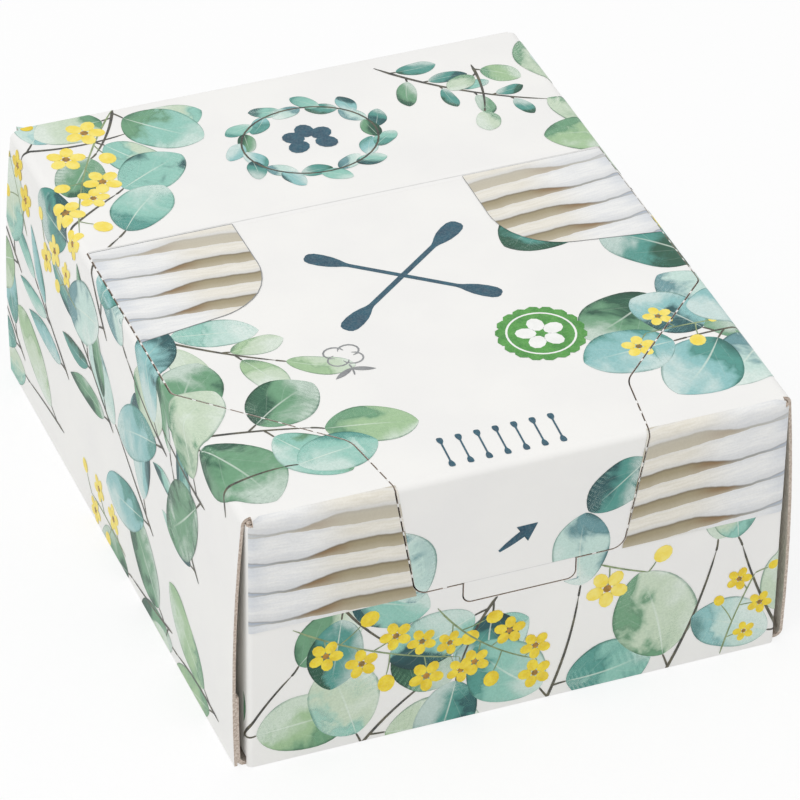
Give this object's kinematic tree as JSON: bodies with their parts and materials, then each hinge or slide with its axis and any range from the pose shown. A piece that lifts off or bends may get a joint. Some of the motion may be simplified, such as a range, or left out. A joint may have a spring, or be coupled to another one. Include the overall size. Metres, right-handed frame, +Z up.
{
  "type": "cotton swab box",
  "caption": "Folding carton of cotton swabs with bowed side walls, a perforated tear-open lid over the top and front, and a pull tab under the lid's front edge.",
  "frame": {"origin": "middle of the base, where the box rests", "axes": "+Z up, +X to the right along the width and the swabs, -Y out of the front wall with the pull tab"},
  "size_m": [0.0826, 0.1006, 0.0424],
  "materials": {
    "printed_board": "coated white board with a satin print",
    "cotton": "soft wound cotton on a pale paper stem"
  },
  "bodies": {
    "carton": {"carton": "printed_board", "swab_row_01": "cotton", "swab_row_02": "cotton", "swab_row_03": "cotton", "swab_row_04": "cotton", "swab_row_05": "cotton", "swab_row_06": "cotton", "swab_row_07": "cotton", "swab_row_08": "cotton", "swab_row_09": "cotton", "swab_row_10": "cotton"},
    "lid": {"lid": "printed_board"},
    "pull_tab": {"pull_tab": "printed_board"}
  },
  "joints": [
    {"name": "lid_hinge", "type": "hinge", "parent": "carton", "child": "lid", "pos_m": [0, 0.0161, 0.0424], "axis": [-1, 0, 0], "range_deg": [0, 150]},
    {"name": "pull_tab_fold", "type": "hinge", "parent": "lid", "child": "pull_tab", "pos_m": [0, -0.0499, 0.0237], "axis": [1, 0, 0], "range_deg": [0, 60]}
  ]
}
